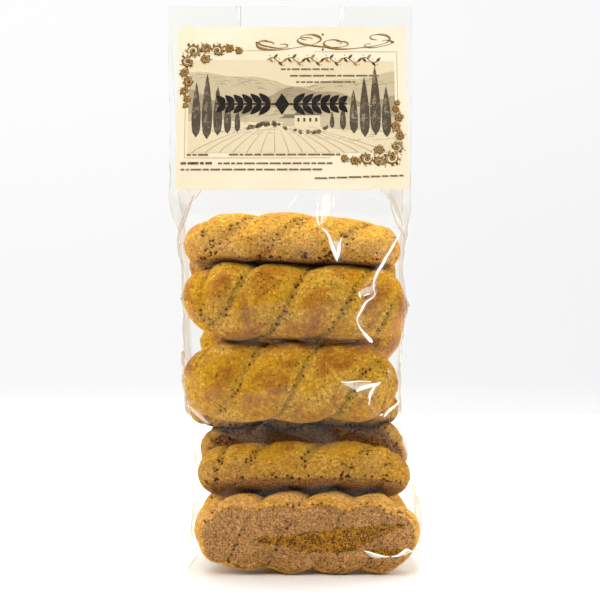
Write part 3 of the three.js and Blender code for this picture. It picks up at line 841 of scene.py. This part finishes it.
# white folds that glow a little: painted highlights on the creases
glintFolds = [
    [(54.9, 178.3, 0.1), (52.9, 174.7, 0.35), (51.1, 171.7, 0.5), (48.5, 167, 0.6), (45.7, 162.4, 0.7),
     (43.9, 158.8, 0.85), (41.9, 155.7, 0.65), (40.3, 152.1, 0.6), (39.6, 148, 0.3), (40.3, 144.2, 0.25),
     (38.3, 142.1, 0.35), (35.7, 140.3, 0.45), (34.2, 137.7, 0.6), (32.4, 134.1, 0.45),
     (31.4, 131.6, 0.35), (31.9, 129, 0.3), (33.4, 126.4, 0.5), (35.7, 123.4, 0.8), (38.3, 120.5, 0.95),
     (39.4, 119.7, 0.3)],
    [(13.4, 177.6, 0.3), (15.2, 176.3, 0.5), (17, 173.7, 0.6), (18, 170.6, 0.9), (19.1, 167.5, 1.1),
     (20.1, 164.5, 1.0), (21, 161.9, 0.6), (21.3, 161, 0.2)],
    [(23.5, 172.7, 0.15), (22.9, 170.6, 0.4), (22.4, 168.6, 0.8), (22.1, 166, 0.9), (21.6, 163.4, 0.7),
     (21.3, 161.4, 0.2)],
    [(11.6, 190.5, 0.15), (11.3, 187, 0.4), (11.2, 183.4, 0.35), (11.7, 180.4, 0.45), (12.5, 179, 0.15)],
    [(13.9, 187.5, 0.15), (13.6, 183, 0.3), (12.9, 179.8, 0.15)],
    [(19.3, 194.3, 0.15), (19.5, 191, 0.35), (19.6, 187.1, 0.15)],
    [(31.1, 95, 0.3), (33.7, 96.6, 1.0), (37.8, 97.8, 0.9), (41.5, 98.5, 0.7), (43.5, 99.4, 0.15)],
    [(40.4, 97.5, 0.4), (38.6, 94.7, 0.75), (37.8, 92.7, 0.7), (37.8, 90.1, 0.4), (37.3, 88, 0.15)],
    [(23.4, 99.8, 0.15), (27.5, 99.6, 0.3), (33, 100, 0.3), (38.5, 99.8, 0.2)],
    [(53.3, 88.9, 0.2), (51.3, 87.5, 0.5), (48.1, 84.9, 0.75), (46.4, 82.9, 0.55), (45.3, 81.4, 0.2)],
    [(43.2, 82.2, 0.2), (44, 82.5, 0.4), (44.9, 82.8, 0.2)],
    [(32.4, 145.4, 0.15), (32.6, 143.6, 0.45), (33.3, 142.2, 0.2)],
    [(34.6, 143.4, 0.15), (36.2, 144, 0.4), (37.9, 144.4, 0.15)],
    [(35.1, 13.8, 0.15), (38.3, 13, 0.35), (41.5, 11.8, 0.55), (45.5, 10.9, 0.4), (47.9, 11, 0.15)],
    [(49, 10.9, 0.2), (52, 11.3, 0.45), (54.3, 12.6, 0.7), (56.7, 14.4, 0.75), (58.7, 13.8, 0.35),
     (61.3, 12.8, 0.15)],
    [(-3.8, 187.6, 0.1), (-1.5, 190.5, 0.25), (1.2, 194, 0.12)],
    [(-29, 284.6, 0.25), (-29, 287, 0.3), (-29, 291.2, 0.25)],
    [(23.5, 284.6, 0.25), (23.5, 287, 0.3), (23.5, 291.2, 0.25)],
    [(24.8, 284.6, 0.1), (24.8, 288, 0.15), (24.7, 291.2, 0.1)],
]
milkyGlintFolds = [  # milky places where the film is crumpled, glowing a little as painted highlights
    [(24.2, 99.8, 0.25), (27.8, 98.5, 1.3), (32.6, 97.5, 2.1), (38.2, 98.1, 1.3), (43, 99, 0.25)],
    [(40.2, 97.6, 0.6), (38.6, 94, 1.1), (37.6, 89.6, 0.3)],
    [(31.8, 144.2, 0.6), (35, 145.2, 2.0), (38.6, 147, 1.7), (40.5, 149.4, 0.5)],
    [(15.8, 194, 1.5), (15.6, 190, 2.6), (15.2, 186, 2.0), (14.2, 182, 1.2), (13.5, 179.5, 0.4)],
    [(20.6, 171.1, 1.6), (21.4, 167.1, 1.2), (21.2, 163.1, 0.4)],
    [(-54.3, 87.6, 0.6), (-49.1, 83.2, 1.2), (-43.9, 78.4, 0.4)],
    [(36, 13.2, 0.3), (39.6, 11.4, 1.0), (44, 10.4, 0.5)],
    [(52, 11.8, 0.4), (55.5, 12.8, 1.2), (58.5, 13.2, 0.3)],
]
edgeShadeFolds = [  # painted shade: faint brown lines, with a slight glow, in the slack film beside the biscuits
    [(-50.8, 194.4, 0.2), (-54.1, 186, 0.9), (-57.4, 178.5, 1.1), (-61.1, 170.6, 0.3)],
    [(-61.1, 169.7, 0.1), (-59.5, 162.6, 0.15)],
    [(-59.3, 161.4, 0.15), (-58.7, 154.3, 0.35), (-57.3, 149.3, 0.15)],
    [(-58.5, 134.2, 0.15), (-58, 127.6, 0.4), (-57.3, 120.1, 0.6), (-56.8, 111.8, 0.4), (-56.2, 103.4, 0.3),
     (-55.3, 96.7, 0.1)],
    [(-54.5, 92.5, 0.1), (-52.4, 82.5, 0.2), (-49.9, 74.1, 0.1)],
    [(47.8, 190.3, 0.15), (50.2, 182.3, 0.3), (55.1, 173.5, 0.4), (57.9, 168.7, 0.15)],
    [(55.1, 138.2, 0.1), (55.5, 122.1, 0.3), (53.8, 106, 0.1)],
    [(-52.3, 38, 0.1), (-53, 26, 0.25), (-51.5, 17, 0.15)],
    [(-48, 14.1, 0.1), (-51.6, 8.5, 0.35), (-54.2, 5, 0.15)],
]


def smoothPath(points, step):
    # a Catmull-Rom curve through the points, with the third value eased along it
    points = np.array([points[0]] + points + [points[-1]], float)
    out = []
    for a, b, c, d in zip(points, points[1:], points[2:], points[3:]):
        count = max(2, int(np.linalg.norm((c - b)[:2]) / step))
        for t in np.arange(count) / count:
            out.append(0.5 * (2 * b + (c - a) * t + (2 * a - 5 * b + 4 * c - d) * t ** 2
                              + (3 * b - a - 3 * c + d) * t ** 3))
    return np.array(out + [points[-1]])


def foldMaterial(name, colour, glow, alpha):
    material, _, shader = newMaterial(name)
    # the glow is painted light: the folds shine though they are no lamp
    plugAll(shader, {"Base Color": linear(colour), "Roughness": 0.3, "Alpha": alpha,
                     "Emission Color": linear(colour), "Emission Strength": glow})
    return material


def buildRidges(name, sides, material):
    surface = surfaceOf(filmMesh)
    corners, faces = [], []
    for facing, path in [(facing, path) for facing, paths in sides for path in paths]:
        turn = Matrix.Rotation(math.radians(facing), 3, "Z")
        reach = ridge["startFront"] if facing in (0, 180) else ridge["startSide"]
        places = []
        for across, up, half in smoothPath(path, ridge["step"]):
            start = turn @ Vector((across, -reach, up)) * mm + shift
            spot, normal, _, _ = surface.ray_cast(start, turn @ Vector((0, 1, 0)), 0.06)
            if spot is None or places and (spot - places[-1][0]).length > ridge["jump"] * mm:
                # past the film's edge: the nearest film at the depth reached so far
                ahead = turn @ Vector((0, 1, 0))
                depth = (places[-1][0] - start).dot(ahead) if places else ridge["firstDepth"] * mm
                spot, normal, _, _ = surface.find_nearest(start + ahead * depth)
            places.append((spot, normal, max(half, ridge["leastHalf"]) * mm))
        first = len(corners)
        for i, (spot, normal, half) in enumerate(places):
            along = places[min(i + 1, len(places) - 1)][0] - places[max(i - 1, 0)][0]
            aside = along.cross(normal).normalized()
            out = aside.cross(along).normalized()
            out = out if out.dot(normal) > 0 else -out
            tall = ridge["height"] * mm + half * ridge["heightShare"]
            for side, rise in ((-1, 0), (0, 1), (1, 0), (0, -ridge["root"])):
                corners.append(spot + aside * half * side + out * tall * rise)
        last = len(corners) - 4
        faces += gridFaces(len(places), 4, first, True)
        faces += [(first, first + 3, first + 2, first + 1), (last, last + 1, last + 2, last + 3)]
    shape = bpy.data.meshes.new(name)
    shape.from_pydata([tuple(c) for c in corners], [], faces)
    faceOutward(shape)
    shape.materials.append(material)
    shape.shade_smooth()
    newPiece(name, shape, "bag")


behind = [[(x + 9, z - 11, half * 0.7) for x, z, half in path] for path in glintFolds[1:14]]
sideFolds = [  # along the gusset and over the ends of the biscuits
    [(0.4, 196, 0.1), (-0.8, 184, 0.35), (1.2, 171, 0.3), (0.2, 160, 0.15)],
    [(-17, 181, 0.1), (-12, 174, 0.4), (-9, 165, 0.5), (-11, 157, 0.15)],
    [(15, 172, 0.15), (17, 161, 0.4), (13, 151, 0.3), (14, 143, 0.1)],
    [(-3, 148, 0.1), (1, 137, 0.35), (0, 124, 0.5), (3, 113, 0.15)],
    [(-20, 124, 0.1), (-16, 117, 0.4), (-18, 108, 0.15)],
    [(18, 99, 0.1), (14, 92, 0.45), (16, 84, 0.3), (11, 77, 0.1)],
    [(-2, 94, 0.1), (1, 80, 0.3), (-1, 66, 0.4), (1, 52, 0.15)],
    [(-14, 50, 0.1), (-10, 42, 0.4), (-13, 33, 0.15)],
    [(3, 42, 0.1), (-1, 30, 0.35), (6, 17, 0.45), (15, 10, 0.15)],
    [(-4, 27, 0.1), (-12, 17, 0.4), (-20, 10, 0.15)],
]
mirrored = [[(-across, up - 4, half) for across, up, half in path] for path in sideFolds]
white = [(0, glintFolds), (180, behind), (90, sideFolds), (-90, mirrored)]
# the white folds at the front, back and sides glow as painted highlights
buildRidges("film_creases", white, foldMaterial("glowing glint fold", (255, 248, 236), 0.35, 1.0))
buildRidges("film_haze", [(0, milkyGlintFolds)], foldMaterial("glowing milky fold", (254, 250, 238), 0.45, 0.2))
buildRidges("film_shades", [(0, edgeShadeFolds)], foldMaterial("painted shade fold", (196, 158, 118), 0.1, 0.3))
print("creases made")


# the label: a card with round corners, and its generic print

label = {
    "width": 117, "height": 89, "corner": 1.2, "thickness": 0.25, "gap": 0.35, "centreX": -1.8,
    "bottom": 196.5, "cellsAcross": 60, "cellsUp": 46,
    "cornerCurl": 1.5, "bulge": 0.7, "edgeWave": 0.35,  # how far the card stands off the film
    "curlFrom": 0.55, "skew": 0.9, "sharpAngle": 50,
}
paperColours = {"paper": (246, 233, 203), "shade": (241, 226, 192)}
inks = {
    "ink_dark": (26, 21, 18), "ink_brown": (92, 64, 22), "ink_gold": (170, 126, 48),
    "ink_text": (116, 92, 60), "sepia_1": (230, 212, 174), "sepia_2": (202, 184, 148),
    "sepia_3": (168, 150, 118), "sepia_4": (126, 110, 84), "sepia_5": (80, 68, 52),
}
lean = math.atan2(bag["slopeHalf"] - bag["topHalf"], bag["height"] - bag["slope"])


def cardPoint(u, v, lift):
    # a point of the card's face, u across from its left edge and v up its slope
    across, up = u / label["width"], v / label["height"]
    low = (1 - up) ** 2
    curl = label["cornerCurl"] * max(0.0, across - label["curlFrom"]) ** 2 * 5 * low
    bulge = label["bulge"] * math.sin(math.pi * across) * low
    wave = label["edgeWave"] * (math.sin(9 * across + 1) + 1) * low * 0.5
    out = label["gap"] + curl + bulge + wave + lift
    footY = -halfDepth(bag["slope"]) - math.tan(lean) * (bag["slope"] - label["bottom"])
    x = label["centreX"] + u - label["width"] / 2 + label["skew"] * across ** 3 * low
    y = footY + v * math.sin(lean) - out * math.cos(lean)
    return Vector((x, y, label["bottom"] + v * math.cos(lean) + out * math.sin(lean))) * mm + shift


def buildCard():
    ends = [0, 0.1, 0.3, 0.6]
    size, corner = label["height"], label["corner"]
    levels = [t * corner for t in ends]
    levels += list(np.linspace(corner, size - corner, label["cellsUp"]))
    levels += [size - t * corner for t in reversed(ends)]
    rows, columns = len(levels), label["cellsAcross"] + 1
    corners = []
    for lift in (label["thickness"], 0):
        for v in levels:
            fromEdge = corner - min(corner, v, size - v)
            inset = corner - math.sqrt(corner ** 2 - fromEdge ** 2)
            for i in range(columns):
                u = inset + (label["width"] - 2 * inset) * i / (columns - 1)
                corners.append(cardPoint(u, v, lift))
    half = rows * columns
    faces = gridFaces(rows, columns) + [face[::-1] for face in gridFaces(rows, columns, half)]
    # the thin edge, once round the card
    ring = [*range(columns), *range(2 * columns - 1, half, columns),
            *range(half - 2, half - columns - 1, -1), *range(half - 2 * columns, -1, -columns)]
    faces += [(b, a, half + a, half + b) for a, b in zip(ring, ring[1:])]
    mesh = bpy.data.meshes.new("label_card")
    mesh.from_pydata(corners, [], faces)
    mesh.materials.append(paperMaterial())
    mesh.shade_smooth()
    mesh.set_sharp_from_angle(angle=math.radians(label["sharpAngle"]))
    newPiece("label_card", mesh, "label")


class Print:
    # flat shapes of ink, gathered in the card's own u and v before they are laid on it
    def __init__(self, name):
        self.name = name
        self.points, self.faces, self.inks = [], [], []

    def add(self, points, faces, ink, lift):
        start = len(self.points)
        self.points += [(u, v, lift) for u, v in points]
        self.faces += [tuple(start + i for i in face) for face in faces]
        self.inks += [ink] * len(faces)

    def stroke(self, line, widths, ink, lift=0.12):
        line = np.array(line, float)
        ahead = np.gradient(line, axis=0)
        ahead /= np.linalg.norm(ahead, axis=1, keepdims=True) + 1e-9
        side = np.stack([-ahead[:, 1], ahead[:, 0]], 1) * np.broadcast_to(widths, len(line))[:, None] / 2
        self.add(np.concatenate([line - side, line + side]), gridFaces(2, len(line)), ink, lift)

    def field(self, u0, u1, lower, upper, ink, lift, step=1.5, bands=1):
        us = np.linspace(u0, u1, max(2, int((u1 - u0) / step)))
        points = [(u, lower(u) + (upper(u) - lower(u)) * k / bands) for k in range(bands + 1) for u in us]
        self.add(points, gridFaces(bands + 1, len(us)), ink, lift)

    def drop(self, u, v, length, width, angle, ink, lift=0.13, points=9):
        # a teardrop with its point at u, v
        t = np.linspace(0, 1, points)
        half = width / 2 * np.sin(np.pi * t ** 0.75) ** 0.8
        a = math.radians(angle)
        line = np.stack([u + t * length * math.cos(a), v + t * length * math.sin(a)], 1)
        self.stroke(line, half * 2 + 0.02, ink, lift)

    def dot(self, u, v, radius, ink, lift=0.13, points=10):
        angles = [2 * math.pi * i / points for i in range(points)]
        ring = [(u + radius * math.cos(a), v + radius * math.sin(a)) for a in angles]
        self.add([(u, v)] + ring, [(0, 1 + i, 1 + (i + 1) % points) for i in range(points)], ink, lift)

    def build(self, materials):
        mesh = bpy.data.meshes.new(self.name)
        thick = label["thickness"]
        mesh.from_pydata([cardPoint(u, v, thick + lift) for u, v, lift in self.points], [], self.faces)
        names = sorted(set(self.inks))
        for name in names:
            mesh.materials.append(materials[name])
        mesh.polygons.foreach_set("material_index", [names.index(ink) for ink in self.inks])
        faceOutward(mesh, True)
        newPiece(self.name, mesh, "label")
        return len(self.faces)


def spiral(u, v, radius, turns, start, hand, points=34):
    t = np.linspace(0, 1, points)
    a = math.radians(start) + hand * 2 * math.pi * turns * t
    r = radius * (1 - t) ** 0.8
    return np.stack([u + r * np.cos(a), v + r * np.sin(a)], 1)


def drawScrolls():
    # leafy scrollwork in two opposite corners, and the thin frame between them
    art = Print("label_scrolls")
    draw = np.random.RandomState(4)

    def scroll(u, v, radius, start, hand):
        line = spiral(u, v, radius, 1.6, start, hand)
        t = np.linspace(0, 1, len(line))
        art.stroke(line, 0.5 + 1.15 * np.sin(np.pi * t) ** 1.1, "ink_brown", 0.13)
        art.stroke(line + (0.16, 0.16), 0.2 + 0.5 * np.sin(np.pi * t), "ink_gold", 0.15)
        art.dot(u, v, radius * 0.26, "ink_brown")
        for k in range(8):
            a = start + hand * (18 + 41 * k) + draw.uniform(-9, 9)
            edge = radius * (1.02 - 0.06 * k)
            c, s = math.cos(math.radians(a)), math.sin(math.radians(a))
            art.drop(u + c * edge, v + s * edge, radius * draw.uniform(0.4, 0.75), radius * 0.38,
                     a + hand * draw.uniform(30, 60), "ink_brown" if k % 3 else "ink_gold", 0.125, 7)
            far = draw.uniform(1.35, 1.75)
            art.dot(u + c * edge * far, v + s * edge * far, draw.uniform(0.15, 0.4),
                    "ink_brown" if k % 2 else "ink_gold", 0.13, 8)

    for u, v, radius, start, hand in ((8.3, 75.4, 3.4, 200, -1), (14.6, 77.2, 2.5, 120, 1),
                                      (20.6, 75.6, 3.0, 190, -1), (26.6, 77.0, 2.1, 100, 1),
                                      (31.4, 75.4, 1.7, 190, -1), (14.2, 71.2, 2.3, 60, -1),
                                      (5.2, 69.4, 2.9, 60, 1), (3.8, 63.4, 2.1, 300, -1),
                                      (5.8, 58.4, 2.4, 40, 1), (4.0, 53.4, 2.0, 280, -1),
                                      (5.4, 49.0, 1.6, 60, 1), (4.6, 45.4, 1.1, 280, -1)):
        scroll(u, v, radius, start, hand)
        scroll(label["width"] - u - 0.4, 92.2 - v, radius, start + 180, hand)
    for u0, v0, u1, v1 in ((35, 75.6, 45, 75.6), (4.4, 43, 4.4, 17), (4.4, 17, 78, 17),
                           (112.4, 49, 112.4, 75), (70, 75, 112.4, 75)):
        line = np.linspace((u0, v0), (u1, v1), 30)
        art.stroke(line, 0.22, "ink_gold", 0.1)
    return art


def swash(u, v, width, tall, tight, tilt, points=150):
    # a pen stroke that curls up at both ends, fitted into a box
    s = np.linspace(-1, 1, points)
    heading = math.radians(tilt) + tight * s * np.abs(s) ** 1.1
    line = np.cumsum(np.stack([np.cos(heading), np.sin(heading)], 1), 0)
    low, high = line.min(0), line.max(0)
    line = (line - (low + high) / 2) / (high - low) * (width, tall)
    nib = np.abs(np.sin(heading - 0.6)) ** 1.6 * (1 - s ** 4)
    return line + (u, v), nib


def drawFlourish():
    # long curling pen strokes where a heading would stand, and a vine below them
    art = Print("label_flourish")
    for u, v, width, tall, tight, tilt, weight in (
            (57, 80.3, 33, 8.5, 5.6, 24, 1.2), (92, 80.6, 34, 8.2, 5.9, 18, 1.2),
            (74.5, 80.2, 26, 5.6, 4.2, -20, 0.9), (49, 79.2, 15, 4.4, 4.6, -28, 0.7),
            (103, 79.4, 14, 4.2, 4.4, 30, 0.7)):
        line, nib = swash(u, v, width, tall, tight, tilt)
        art.stroke(line, 0.2 + weight * nib, "ink_brown", 0.13)
        art.stroke(line + (0.1, 0.12), 0.1 + weight * 0.45 * nib, "ink_gold", 0.15)
    for u, v in ((74.5, 84.6), (74.5, 76.2), (40.5, 80), (110.6, 80.4)):
        art.dot(u, v, 0.6, "ink_brown", 0.13, 8)
    t = np.linspace(0, 1, 200)
    vine = np.stack([46 + 57 * t, 70.4 + 1.4 * np.sin(t * 2 * math.pi * 6)], 1)
    art.stroke(vine, 0.42, "ink_brown")
    for k in range(24):
        up = 1 if k % 2 else -1
        at = 47 + 55 * k / 23
        rise = 70.4 + 1.4 * math.sin((at - 46) / 57 * 2 * math.pi * 6)
        art.drop(at, rise, 3.1, 1.3, up * 48, "ink_brown" if k % 3 else "ink_gold")
        art.dot(at + 0.4, rise - up * 1.7, 0.32, "ink_gold")
    return art


def drawBars():
    # plain bars in place of small print, and a dark wheat-ear border in place of a heading
    art = Print("label_bars")
    draw = np.random.RandomState(11)

    def line(u0, u1, v, tall, ink, slope=0.0):
        u = u0
        while u < u1 - 1:
            wide = min(draw.uniform(1.6, 6.5), u1 - u)
            rise = v + slope * (u - u0)
            art.field(u, u + wide, lambda q: rise, lambda q: rise + tall, ink, 0.12, 1.2)
            u += wide + 0.75

    for u0, u1, v, tall in ((53, 80, 64.9, 0.9), (57.7, 103, 61.3, 0.9), (60.8, 91, 57.8, 0.9),
                            (5.6, 18, 18.2, 1.0), (27, 83, 18.3, 0.95), (2.6, 20, 13.5, 1.3),
                            (21.5, 79, 13.6, 0.95), (2.6, 75, 10.3, 0.95), (70, 114, 5.6, 0.9)):
        line(u0, u1, v, tall, "ink_brown" if tall > 1.2 else "ink_text", 0.03 if v < 6 else 0)
    # a bold wheat ear on either side of a lozenge
    middle, v = 53.6, 46.2
    for side in (-1, 1):
        for k in range(6):
            at = middle + side * (6.0 + 4.6 * k)
            size = 8.0 - 0.4 * k
            for up in (-1, 1):
                angle = (90 - side * 90) + side * up * 44
                art.drop(at, v + up * 0.4, size, 3.5, angle, "ink_dark", 0.17, 12)
        stem = np.linspace((middle + side * 3.4, v), (middle + side * 33, v), 24)
        art.stroke(stem, 0.9, "ink_dark", 0.16)
    art.add([(middle - 3.8, v), (middle, v - 6), (middle + 3.8, v), (middle, v + 6)],
            [(0, 1, 2, 3)], "ink_dark", 0.17)
    return art


def drawHills():
    # a countryside engraving in sepia: hills, cypresses, a farmhouse and a ploughed field
    art = Print("label_picture")
    draw = np.random.RandomState(23)

    def crest(base, size, length, phase):
        return lambda u: base + size * math.sin(u / length + phase) + 0.35 * size * math.sin(u / length * 2.7)

    floor = 19.8
    sky = crest(70, 0.6, 30, 0)
    hills = [
        (crest(60, 3.2, 15, 0.4), "sepia_2", 0.05), (crest(51.5, 3.6, 11, 2.0), "sepia_3", 0.065),
        (crest(42.5, 3.4, 17, 3.6), "sepia_2", 0.08), (crest(35, 2.4, 21, 0.2), "sepia_1", 0.095),
    ]
    art.field(6, 111, lambda u: floor, sky, "sepia_1", 0.03, 2.5, 6)
    for top, ink, lift in hills:
        art.field(6, 111, lambda u: floor, lambda u, t=top: min(t(u), sky(u) - 0.5), ink, lift, 1.5, 4)
        for _ in range(70):
            u = draw.uniform(7, 106)
            drop = draw.uniform(0.6, 7)
            v = top(u) - drop
            if v < floor + 2:
                continue
            size = draw.uniform(2, 5.5)
            bend = [(u + size * s, v + 0.5 * math.sin(3 * s) + (top(u + size * s) - top(u)) * 0.8)
                    for s in np.linspace(0, 1, 6)]
            art.stroke(bend, 0.16, "sepia_4", lift + 0.006)
    for k in range(15):
        # furrows that run together towards the far edge of the field
        u = 8 + 7 * k
        far = 52 + (u - 56) * 0.35
        line = [(u + (far - u) * s, floor + 13 * s ** 0.8) for s in np.linspace(0, 1, 12)]
        line = [(min(110, max(7, a)), b) for a, b in line]
        art.stroke(line, np.linspace(0.42, 0.1, 12), "sepia_3", 0.105)

    def cypress(u, v, tall, wide):
        t = np.linspace(0, 1, 12)
        half = wide * np.sin(np.pi * t ** 0.6) ** 0.8
        art.stroke(np.stack([u + 0 * t, v + tall * t], 1), half + 0.1, "sepia_5", 0.11)
        for _ in range(5):
            s = draw.uniform(0.1, 0.8)
            art.drop(u - wide * 0.2, v + tall * s, tall * 0.16, wide * 0.3, 80, "sepia_4", 0.118)

    for u, v, tall, wide in ((10, 28, 30, 4.6), (15.5, 27, 36, 5.2), (21, 29, 27, 4.4), (26, 30, 20, 3.6),
                             (31, 31, 13, 2.8), (90, 30, 24, 4.2), (95.5, 28, 33, 5.0), (101, 29, 38, 5.4),
                             (106.5, 28, 28, 4.6), (84.5, 32, 14, 3.0), (79, 33, 9, 2.2)):
        cypress(u, v, tall, wide)
    for _ in range(46):
        u = draw.uniform(36, 78)
        art.dot(u, 33 + 2.6 * math.sin(u / 6) + draw.uniform(-1, 1), draw.uniform(0.5, 1.3), "sepia_4", 0.112)
    u, v = 60, 34
    art.field(u, u + 13, lambda q: v, lambda q: v + 6, "sepia_1", 0.12)
    art.field(u - 6, u, lambda q: v, lambda q: v + 4.4, "sepia_2", 0.12)
    for roof in ([(u - 0.8, v + 6), (u + 13.8, v + 6), (u + 11, v + 9), (u + 2, v + 9)],
                 [(u - 6.6, v + 4.4), (u, v + 4.4), (u, v + 6.6), (u - 5, v + 6.6)]):
        art.add(roof, [(0, 1, 2, 3)], "sepia_4", 0.125)
    for at in (u + 1.4 + 3 * k for k in range(4)):
        art.field(at, at + 1.1, lambda q: v + 2.6, lambda q: v + 4.6, "sepia_5", 0.128, 0.6)
    return art


def paperMaterial():
    material, tree, shader = newMaterial("cream label paper")
    here = objectPlace(tree)
    fibre = noiseAt(here, 1400, 2)
    cloudy = (noiseAt(here, 30, 3) * 0.8 + fibre * 0.2).ramp(0.4, 0.62)
    plugAll(shader, {"Base Color": colourMix(cloudy, paperColours["paper"], paperColours["shade"]),
                     "Roughness": 0.55, "Specular IOR Level": 0.3,
                     "Normal": bumped(fibre, 0.15, 0.0001)})
    return material


def inkMaterial(name):
    # the ink lets some paper through, as a coarse print does
    material, tree, shader = newMaterial(name)
    here = objectPlace(tree)
    worn = noiseAt(here, 1100, 3, 0.7) * 0.7 + noiseAt(here, 160, 2) * 0.3
    lost = worn.ramp(0.52, 0.7, 0, 0.06 if name == "ink_dark" else 0.4)
    plugAll(shader, {"Base Color": colourMix(lost, inks[name], paperColours["paper"]),
                     "Roughness": 0.5, "Specular IOR Level": 0.3})
    return material


buildCard()
inkMaterials = {name: inkMaterial(name) for name in inks}
prints = (drawHills(), drawScrolls(), drawFlourish(), drawBars())
print("label made:", sum(art.build(inkMaterials) for art in prints), "faces of print")


# studio: pale floor and backdrop, soft lights, camera

studio = {
    "world": 0.15, "floor": (250, 249, 247), "floorFront": -900, "floorSplit": -170, "floorBack": 600,
    "halfWidth": 3000, "panelHeight": 3000,
    "backdropRadius": 2600, "glow": 0.97,
    "cameraLens": 102.7, "cameraBack": 860, "cameraHeight": 196, "aim": (2.5, -36, 141.5),
}
lamps = {  # place and size in metres, power in watts, and whether the film shows it
    "key": [(-0.3, -0.75, 1.2), (0.9, 0.9), 15.5, False],
    "right": [(1.15, -0.2, 0.55), (0.7, 0.9), 7, False],
    "left": [(-1.15, -0.15, 0.6), (0.7, 0.9), 4.5, False],
    "top": [(0.05, 0.3, 1.3), (0.9, 0.6), 17, True],
}


def staged(mesh, material, corners=None):
    if corners:
        mesh.from_pydata(corners, [], [(0, 1, 2, 3)])
    mesh.materials.append(material)
    piece = newObject(mesh.name, mesh)
    return piece


def glowMaterial(name, strength=None):
    material, tree, shader = newMaterial(name)
    tree.nodes.remove(shader)
    if strength is None:
        # painted light: a wall that glows a little brighter low down and to the left
        x, _, z = split3(objectPlace(tree))
        strength = z.ramp(-0.255, -0.174, 1.02, 0.95) + z.ramp(-0.025, 0.527, 0.0, 0.04)
        strength = strength - x.ramp(-0.58, 0.69, 0.0, 0.045)
    glow = wired(tree, "ShaderNodeEmission", {0: (1, 1, 1, 1), 1: strength})
    plugAll(tree.nodes["Material Output"], {0: glow})
    return material


def turned(thing, aim):
    thing.rotation_euler = (aim - thing.location).to_track_quat("-Z", "Y").to_euler()


def buildStudio():
    world = bpy.data.worlds.new("studio")
    scene.world = world
    world.use_nodes = True
    plugAll(world.node_tree.nodes["Background"], {0: (1, 1, 1, 1), 1: studio["world"]})

    floor, tree, shader = newMaterial("studio floor")
    # painted light: the floor glows, more the further it is from the pack and not at all beside it
    away = wired(tree, "ShaderNodeVectorMath", {0: objectPlace(tree)}, "Value", operation="LENGTH")
    plugAll(shader, {"Base Color": linear(studio["floor"]), "Roughness": 0.3,
                     "Emission Color": (1, 1, 1, 1), "Emission Strength": away.ramp(0.06, 0.4, 0.0, 0.4)})
    near, split, far, side, tall = (studio[key] * mm for key in (
        "floorFront", "floorSplit", "floorBack", "halfWidth", "panelHeight"))
    sheets = {}
    for name, start, end, rise in (("floor", split, far, 0), ("floor_front", near, split, 0),
                                   ("light_panel", far, far, tall)):
        corners = [(-side, start, 0), (side, start, 0), (side, end, rise), (-side, end, rise)]
        material = glowMaterial("studio light panel", studio["glow"]) if rise else floor
        sheets[name] = staged(bpy.data.meshes.new(name), material, corners)
    sheets["floor_front"].visible_diffuse = False  # it throws little light up at the pack
    sheets["light_panel"].visible_camera = False  # it only lights the pack from behind

    mesh = bpy.data.meshes.new("backdrop")
    dome = bmesh.new()
    bmesh.ops.create_uvsphere(dome, u_segments=48, v_segments=24, radius=studio["backdropRadius"] * mm)
    dome.to_mesh(mesh)
    dome.free()
    backdrop = staged(mesh, glowMaterial("studio backdrop"))
    backdrop.visible_diffuse = backdrop.visible_glossy = backdrop.visible_shadow = False

    for name, (place, size, watts, mirrored) in lamps.items():
        data = bpy.data.lights.new(name, "AREA")
        data.shape = "RECTANGLE"
        data.size, data.size_y = size
        data.energy = watts
        light = newObject(name, data)
        light.visible_glossy = mirrored  # the film would show the others as pale squares
        light.location = place
        turned(light, Vector((0, 0, 0.13)))

    data = bpy.data.cameras.new("camera")
    data.lens = studio["cameraLens"]
    data.sensor_width = 36
    camera = newObject("camera", data)
    aim = Vector(studio["aim"]) * mm + shift
    camera.location = (aim.x, aim.y - studio["cameraBack"] * mm, studio["cameraHeight"] * mm)
    turned(camera, aim)
    scene.camera = camera
    scene.view_settings.view_transform = "Standard"
    scene.view_settings.look = "None"
    print("studio ready")


buildStudio()
